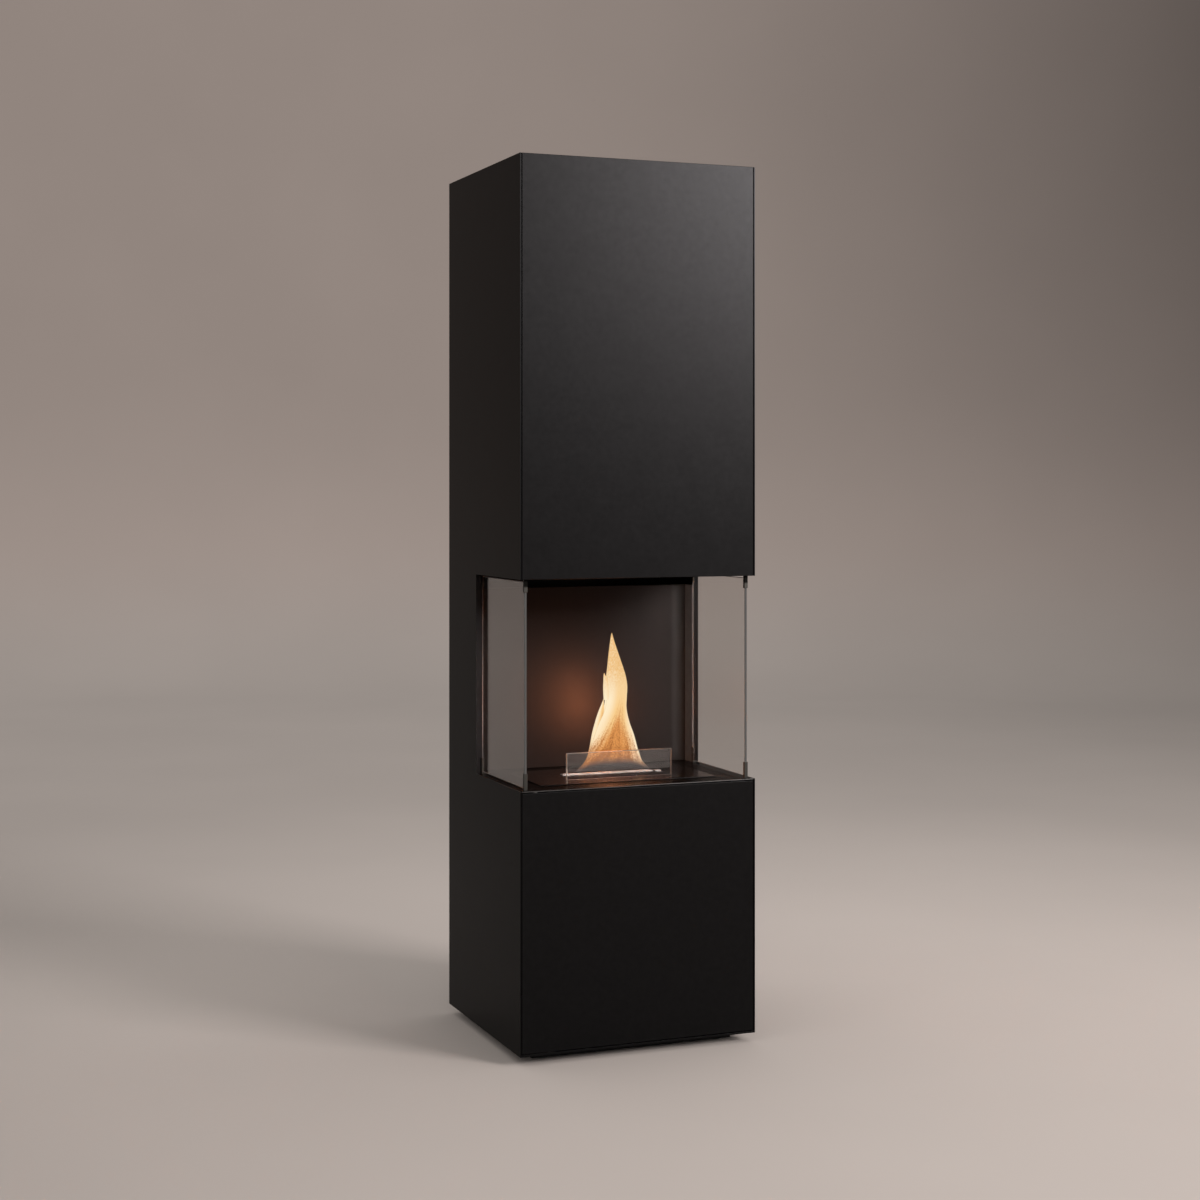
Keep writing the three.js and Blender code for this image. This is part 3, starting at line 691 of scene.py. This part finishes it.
class FIREPLACE_OT_flame(bpy.types.Operator):
    """Makes the flame over the burner's slot and the light it throws"""

    bl_idname = "fireplace.flame"
    bl_label = "Flame"

    RING_POINTS = 64
    RINGS = 60
    FEWEST_RINGS = 8
    LEAST_HALF_WIDTH = 0.1
    TURNED_DOWN = 0.05
    # Height above the slot, sideways place, half length and half depth, in millimetres.
    BODY = (
        (0.0, 9.5, 69.0, 3.0),
        (4.0, 9.5, 66.0, 5.0),
        (9.0, 9.5, 59.0, 8.0),
        (15.0, 10.0, 52.5, 11.5),
        (23.5, 11.0, 47.5, 14.5),
        (37.5, 11.5, 42.5, 17.0),
        (59.5, 11.0, 36.5, 18.0),
        (81.5, 11.0, 28.0, 17.0),
        (103.5, 14.5, 19.5, 15.0),
        (122.0, 16.1, 18.5, 14.0),
        (139.5, 16.5, 19.0, 13.0),
        (155.0, 16.2, 17.0, 11.5),
        (168.5, 15.0, 14.0, 10.0),
        (190.5, 12.2, 9.0, 6.5),
        (211.5, 9.8, 4.0, 3.0),
        (222.0, 9.0, 1.6, 1.3),
        (227.0, 8.8, 0.3, 0.3),
    )
    # The same four values for the small tongues beside the body.
    TONGUES = (
        ((36.0, -12.0, 18.0, 9.0), (60.0, -13.0, 13.5, 8.0), (85.0, -11.0, 8.5, 6.0),
         (100.0, -9.2, 5.0, 4.0), (110.0, -7.4, 2.4, 2.2), (116.0, -6.2, 1.0, 1.0),
         (119.0, -5.6, 0.2, 0.2)),
        ((118.0, 4.0, 9.0, 8.0), (138.0, 2.0, 8.0, 7.0), (150.0, -1.2, 4.4, 4.5),
         (157.0, -3.8, 1.8, 2.0), (162.0, -4.6, 0.2, 0.2)),
    )
    # Share of the flame's height, metres to the right, and watts.
    LAMPS = ((0.24, 0.0, 0.5), (0.39, 0.0, 2.05), (0.56, 0.0, 0.95), (0.38, 0.075, 0.5))
    LAMP_RADIUS = 0.02
    LAMP_PLACE = Vector((0.012, 0.018, 0.0))
    # The middle line of the core leans to the left: its place at the foot, and its slope.
    CORE_FOOT = 0.165
    CORE_SLOPE = -0.55
    CORE_TOP = 0.56
    # Share of the height above which the streaks of the core would meet.
    STREAKS_MEET = 0.8

    def execute(self, context):
        rim_low, rim_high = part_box("burner_slot_rim")
        foot = Vector((0.0, (rim_low.y + rim_high.y) / 2, rim_high.z))
        material = self.burning()
        body = self.loft("flame_body", self.BODY, material, foot)
        for number, stations in enumerate(self.TONGUES):
            self.loft(f"flame_tongue_{number + 1}", stations, material, foot)
        self.lamps(foot, body)
        return {"FINISHED"}

    def between(self, stations, height):
        """Place, half length and half depth at a height, on a curve through the stations."""
        last = len(stations) - 1
        here = next((i for i in range(last) if height <= stations[i + 1][0]), last - 1)
        span = stations[here + 1][0] - stations[here][0]
        way = (height - stations[here][0]) / span
        values = []
        for item in range(1, 4):
            start, stop = stations[here][item], stations[here + 1][item]
            slopes = []
            for index in (here, here + 1):
                low, high = stations[max(index - 1, 0)], stations[min(index + 1, last)]
                slopes.append((high[item] - low[item]) / (high[0] - low[0]) * span)
            near = start * (2 * way ** 3 - 3 * way ** 2 + 1)
            near += slopes[0] * (way ** 3 - 2 * way ** 2 + way)
            far = stop * (3 * way ** 2 - 2 * way ** 3)
            far += slopes[1] * (way ** 3 - way ** 2)
            values.append(near + far)
        return values

    def loft(self, name, stations, material, foot):
        """Bridges rings from the foot of the form to its tip."""
        tall = sizes().flame_height / (self.BODY[-1][0] * MILLIMETRE)
        long = sizes().flame_length / (2 * self.BODY[1][2] * MILLIMETRE)
        shape = bmesh.new()
        low, high = stations[0][0], stations[-1][0]
        steps = max(self.FEWEST_RINGS, round(self.RINGS * (high - low) / self.BODY[-1][0]))
        spans = []
        before = None
        for step in range(steps + 1):
            height = low + (high - low) * step / steps
            sideways, half_length, half_depth = self.between(stations, height)
            centre = foot + Vector((sideways, 0.0, height * tall)) * MILLIMETRE
            half_length = max(half_length * long, self.LEAST_HALF_WIDTH) * MILLIMETRE
            half_depth = max(half_depth, self.LEAST_HALF_WIDTH) * MILLIMETRE
            oval = Matrix.Diagonal((half_length, half_depth, 1.0, 1.0))
            place = Matrix.Translation(centre) @ oval
            made = bmesh.ops.create_circle(
                shape, segments=self.RING_POINTS, radius=1.0, matrix=place,
                cap_ends=step in (0, steps),
            )["verts"]
            ring = list({edge for vert in made for edge in vert.link_edges})
            if before is not None:
                bmesh.ops.bridge_loops(shape, edges=before + ring)
            before = ring
            spans.append((centre.z, centre.x, half_length))
        bmesh.ops.recalc_face_normals(shape, faces=shape.faces)
        self.map_heat(shape, spans, foot)
        piece = finished_object(name, shape, material)
        smooth(piece)
        piece.visible_shadow = False
        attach(piece, "burner")
        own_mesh(piece)
        return piece

    def map_heat(self, shape, spans, foot):
        """Writes a UV map: across the flame, from 0 at the left to 1, and up it."""
        heat = shape.loops.layers.uv.new("heat")
        for face in shape.faces:
            for loop in face.loops:
                point = loop.vert.co
                _, middle, half_length = min(spans, key=lambda span: abs(span[0] - point.z))
                across = 0.5 + 0.5 * (point.x - middle) / half_length
                loop[heat].uv = (across, (point.z - foot.z) / sizes().flame_height)

    def burning(self):
        """Pale sides, an orange core that widens downwards, and a thin grey foot."""
        chosen = finishes()
        material, tree, shader = new_material(
            "flame", Base_Color=(0.0, 0.0, 0.0, 1.0), Specular_IOR_Level=0.0, Roughness=1.0,
            Emission_Strength=1.0,
        )
        heat_map = new_node(tree, "ShaderNodeUVMap", uv_map="heat")
        parts = new_node(tree, "ShaderNodeSeparateXYZ")
        tree.links.new(heat_map.outputs["UV"], parts.inputs["Vector"])
        up = parts.outputs["Y"]
        aside = calculated(tree, "SUBTRACT", parts.outputs["X"], 0.5)
        side = calculated(tree, "MULTIPLY", calculated(tree, "ABSOLUTE", aside), 2.0)
        from_core = calculated(
            tree, "MULTIPLY_ADD", up, self.CORE_SLOPE,
            calculated(tree, "ADD", aside, self.CORE_FOOT),
        )
        away = calculated(tree, "MULTIPLY", calculated(tree, "ABSOLUTE", from_core), 2.0)
        flecks = noise(tree, object_place(tree), 520.0, 2.0)
        streaks = self.streaks(tree, up, from_core)

        inner = spread(tree, away, 1.0, 0.0, 0.3, 1.05, "SMOOTHSTEP")
        warmth = calculated(tree, "MULTIPLY", inner, spread(tree, up, 1.0, 0.3, 0.45, 0.8))
        fire = blend_colours(tree, warmth, chosen.flame_body_colour, chosen.flame_gold_colour)
        core = self.core(tree, up, away, streaks, flecks)
        patches = self.patches(tree, up, streaks, flecks)
        patches = calculated(tree, "MULTIPLY", patches, core)
        ember = blend_colours(
            tree, patches, chosen.flame_amber_colour, chosen.flame_core_colour
        )
        fire = blend_colours(tree, core, fire, ember)

        tip = spread(tree, up, 0.0, 0.8, 0.5, 0.8, "SMOOTHSTEP")
        tip = calculated(tree, "MULTIPLY_ADD", spread(tree, flecks, -0.6, 0.6), tip, tip)
        fire = blend_colours(tree, tip, fire, chosen.flame_tip_colour)

        middle = spread(tree, side, 1.0, 0.0, 0.78, 1.0, "SMOOTHSTEP")
        arch = calculated(tree, "MULTIPLY_ADD", calculated(tree, "POWER", side, 3.0), 0.05, up)
        low = spread(tree, arch, 1.0, 0.0, 0.05, 0.125, "SMOOTHSTEP")
        thin = calculated(tree, "MULTIPLY", low, middle)
        foot_end = spread(tree, up, 1.0, 0.0, 0.01, 0.085, "SMOOTHSTEP")
        thin = calculated(tree, "MAXIMUM", thin, foot_end)
        shades = blend_colours(tree, thin, fire, chosen.flame_foot_colour)
        tree.links.new(shades, shader.inputs["Emission Color"])
        tree.links.new(self.density(tree, up, side, middle), shader.inputs["Alpha"])
        return material

    def streaks(self, tree, up, from_core):
        """Streaks that run together above the core."""
        opening = calculated(tree, "SUBTRACT", self.STREAKS_MEET, up)
        fan = new_node(tree, "ShaderNodeCombineXYZ")
        tree.links.new(calculated(tree, "DIVIDE", from_core, opening), fan.inputs["X"])
        tree.links.new(calculated(tree, "MULTIPLY", up, 0.45), fan.inputs["Y"])
        return noise(tree, fan.outputs["Vector"], 7.0, 4.0)

    def core(self, tree, up, away, streaks, flecks):
        """From 1 in the core to 0 outside it, with an edge broken by the patterns."""
        width = spread(tree, up, 1.0, 0.0, 0.0, self.CORE_TOP)
        width = calculated(tree, "MULTIPLY", calculated(tree, "POWER", width, 1.3), 1.5)
        within = calculated(tree, "SUBTRACT", width, away)
        within = calculated(tree, "ADD", within, spread(tree, streaks, -0.25, 0.25))
        within = calculated(tree, "ADD", within, spread(tree, flecks, -0.14, 0.14))
        inside = spread(tree, within, 0.0, 1.0, -0.2, 0.4, "SMOOTHSTEP")
        return calculated(tree, "MULTIPLY", inside, spread(tree, up, 1.0, 0.0, 0.36, 0.6))

    def patches(self, tree, up, streaks, flecks):
        """Dark patches along the streaks, more of them near the foot."""
        streaked = spread(tree, streaks, -0.45, 0.75)
        flecked = spread(tree, flecks, -0.45, 0.45)
        both = calculated(tree, "ADD", streaked, flecked)
        return calculated(tree, "ADD", both, spread(tree, up, 0.7, 0.0, 0.1, 0.24))

    def density(self, tree, up, side, middle):
        """Clear in the middle of the foot, soft at the sides and at the slot."""
        clear = calculated(tree, "MULTIPLY", spread(tree, up, 0.75, 0.0, 0.04, 0.12), middle)
        soft_edge = spread(tree, side, 1.0, 0.25, 0.92, 1.0)
        solid = calculated(tree, "MULTIPLY", calculated(tree, "SUBTRACT", 1.0, clear), soft_edge)
        taper = spread(tree, up, 0.0, 1.0, 0.0, 0.045)
        return calculated(tree, "MULTIPLY", solid, taper)

    def lamps(self, foot, body):
        """Small warm lamps up the flame, seen in glossy surfaces, that ride with its body."""
        for number, (share_up, aside, power) in enumerate(self.LAMPS):
            data = bpy.data.lights.new(f"flame_light_{number + 1}", "POINT")
            data.energy = power
            data.color = finishes().glow_colour
            data.shadow_soft_size = self.LAMP_RADIUS
            lamp = bpy.data.objects.new(data.name, data)
            lamp.parent = body
            lamp.location = foot + self.LAMP_PLACE
            lamp.location.x += aside
            lamp.location.z += share_up * sizes().flame_height
            lamp.visible_camera = False
            lamp.visible_diffuse = False
            lamp.visible_transmission = False
            bpy.context.scene.collection.objects.link(lamp)


class FIREPLACE_OT_stage(bpy.types.Operator):
    """Makes floor, backdrop, studio light and camera"""

    bl_idname = "fireplace.stage"
    bl_label = "Stage"

    CAMERA_PLACE = (-1.263586, -3.180609, 0.894383)
    CAMERA_TURN = -21.7237
    CAMERA_LENS = 62.1755
    CAMERA_SHIFT = -0.095877
    KEY_PLACE = (3.37, -4.62, 2.8)
    KEY_TARGET = (0.0, -0.18, 1.0)
    KEY_SIZE = 1.93
    KEY_POWER = 235.0
    SHEEN_POWER = 462.0
    SKY_STRENGTH = 0.57
    WALL_HEIGHT = 6.0
    COVE_RADIUS = 1.5
    COVE_STEPS = 12
    STAGE_STEPS = 96
    FLOOR_TINT = (1.038, 1.014, 1.013)
    WALL_TINT = (1.076, 0.994, 0.975)
    # Where the paper's painted shade starts and stops to fall off, in metres, and what tone is left.
    OUTWARD_FALL = (0.67, 2.77, 0.775)
    UPWARD_FALL = (0.0, 1.49, 0.781)
    WALL_START = (0.0, 0.7)
    # The middle, the reach in metres and the depth of each soft shade painted on the backdrop.
    SHADES = (((6.04, 2.53, 2.97), 6.17, 0.95), ((-3.3, 0.31, 2.44), 4.83, 0.8))

    def execute(self, context):
        self.backdrop()
        self.world()
        self.soft_lamp("key_light", self.KEY_POWER)
        sheen = self.soft_lamp("key_sheen", self.SHEEN_POWER)
        sheen.visible_diffuse = False
        sheen.visible_transmission = False
        self.camera()
        return {"FINISHED"}

    def backdrop(self):
        """A round floor that curves up into a wall, spun from one outline."""
        radius = sizes().stage_radius
        cove = self.COVE_RADIUS
        flat = radius - cove
        outline = [(0.0, 0.0, 0.0), (flat, 0.0, 0.0)]
        for step in range(1, self.COVE_STEPS + 1):
            angle = step / self.COVE_STEPS * math.pi / 2
            outline.append((flat + cove * math.sin(angle), 0.0, cove - cove * math.cos(angle)))
        outline.append((radius, 0.0, self.WALL_HEIGHT))
        shape = spun_shape(outline, (0.0, 0.0, 0.0), (0.0, 0.0, 1.0), self.STAGE_STEPS)
        bmesh.ops.recalc_face_normals(shape, faces=shape.faces)
        bmesh.ops.reverse_faces(shape, faces=shape.faces)
        stage = finished_object("studio_backdrop", shape, self.paper())
        smooth(stage)
        stage.visible_diffuse = False

    def paper(self):
        """Pale paper with painted shade: its tone falls off outwards, upwards and towards two sides."""
        rgb = finishes().backdrop_colour
        material, tree, shader = new_material(
            "backdrop_paper", Specular_IOR_Level=0.05, Roughness=0.95,
        )
        place = object_place(tree)
        height = new_node(tree, "ShaderNodeSeparateXYZ")
        tree.links.new(place, height.inputs["Vector"])
        out = new_node(tree, "ShaderNodeVectorMath", operation="LENGTH")
        tree.links.new(object_place(tree, (1.0, 1.0, 0.0)), out.inputs[0])
        start, stop, left = self.OUTWARD_FALL
        outward = spread(tree, out.outputs["Value"], 1.0, left, start, stop, "SMOOTHSTEP")
        start, stop, left = self.UPWARD_FALL
        upward = spread(tree, height.outputs["Z"], 1.0, left, start, stop, "SMOOTHSTEP")
        fall = calculated(tree, "MULTIPLY", outward, upward)
        for middle, reach, depth in self.SHADES:
            away = new_node(tree, "ShaderNodeVectorMath", operation="DISTANCE")
            away.inputs[1].default_value = middle
            tree.links.new(place, away.inputs[0])
            shade = spread(tree, away.outputs["Value"], 1.0 - depth, 1.0, 0.0, reach, "SMOOTHSTEP")
            fall = calculated(tree, "MULTIPLY", fall, shade)
        clouds = spread(tree, noise(tree, place, 1.3, 3.0), 0.98, 1.02)
        cloudy = calculated(tree, "MULTIPLY", fall, clouds)
        wall = spread(tree, height.outputs["Z"], 0.0, 1.0, *self.WALL_START, "SMOOTHSTEP")
        floor_rgb = tuple(channel * part for channel, part in zip(rgb, self.FLOOR_TINT))
        wall_rgb = tuple(channel * part for channel, part in zip(rgb, self.WALL_TINT))
        toned = new_node(tree, "ShaderNodeVectorMath", operation="SCALE")
        tree.links.new(blend_colours(tree, wall, floor_rgb, wall_rgb), toned.inputs[0])
        tree.links.new(cloudy, toned.inputs["Scale"])
        tree.links.new(toned.outputs[0], shader.inputs["Base Color"])
        return material

    def world(self):
        """Even light from all round."""
        world = bpy.data.worlds.new("studio")
        bpy.context.scene.world = world
        world.use_nodes = True
        sky = world.node_tree.nodes["Background"]
        sky.inputs["Color"].default_value = opaque(finishes().sky_colour)
        sky.inputs["Strength"].default_value = self.SKY_STRENGTH

    def soft_lamp(self, name, power):
        """A square soft box, high at the front and right of the fireplace."""
        data = bpy.data.lights.new(name, "AREA")
        data.shape = "SQUARE"
        data.size = self.KEY_SIZE
        data.energy = power
        data.color = finishes().key_colour
        lamp = bpy.data.objects.new(name, data)
        lamp.location = self.KEY_PLACE
        aim = Vector(self.KEY_TARGET) - Vector(self.KEY_PLACE)
        lamp.rotation_euler = aim.to_track_quat("-Z", "Y").to_euler()
        lamp.visible_camera = False
        bpy.context.scene.collection.objects.link(lamp)
        return lamp

    def camera(self):
        """The photograph's view; the shift keeps the upright edges upright."""
        data = bpy.data.cameras.new("camera")
        data.lens = self.CAMERA_LENS
        data.shift_y = self.CAMERA_SHIFT
        camera = bpy.data.objects.new("camera", data)
        camera.location = self.CAMERA_PLACE
        camera.rotation_euler = (math.radians(90.0), 0.0, math.radians(self.CAMERA_TURN))
        bpy.context.scene.collection.objects.link(camera)
        bpy.context.scene.camera = camera
        bpy.context.scene.view_settings.view_transform = "Standard"


class FIREPLACE_PT_panel(bpy.types.Panel):
    """Lists the steps and the settings in the sidebar"""

    bl_idname = "FIREPLACE_PT_panel"
    bl_label = "Bioethanol Fireplace"
    bl_space_type = "VIEW_3D"
    bl_region_type = "UI"
    bl_category = "Fireplace"

    def draw(self, context):
        for step in OPERATORS:
            self.layout.operator(step.bl_idname)
        for group in (context.scene.fireplace_sizes, context.scene.fireplace_finishes):
            for name in group.__annotations__:
                self.layout.prop(group, name)


OPERATORS = (
    FIREPLACE_OT_finishes,
    FIREPLACE_OT_casing,
    FIREPLACE_OT_firebox,
    FIREPLACE_OT_glass,
    FIREPLACE_OT_burner,
    FIREPLACE_OT_door,
    FIREPLACE_OT_fixings,
    FIREPLACE_OT_flame,
    FIREPLACE_OT_stage,
)
CLASSES = (FireplaceSizes, FireplaceFinishes, *OPERATORS, FIREPLACE_PT_panel)


def register():
    for made in CLASSES:
        bpy.utils.register_class(made)
    bpy.types.Scene.fireplace_sizes = PointerProperty(type=FireplaceSizes)
    bpy.types.Scene.fireplace_finishes = PointerProperty(type=FireplaceFinishes)


def unregister():
    del bpy.types.Scene.fireplace_finishes
    del bpy.types.Scene.fireplace_sizes
    for made in reversed(CLASSES):
        bpy.utils.unregister_class(made)


def main():
    """Makes every piece in order."""
    register()
    bpy.ops.fireplace.finishes()
    bpy.ops.fireplace.casing()
    bpy.ops.fireplace.firebox()
    bpy.ops.fireplace.glass()
    bpy.ops.fireplace.burner()
    bpy.ops.fireplace.door()
    bpy.ops.fireplace.fixings()
    bpy.ops.fireplace.flame()
    bpy.ops.fireplace.stage()


if __name__ == "__main__":
    main()
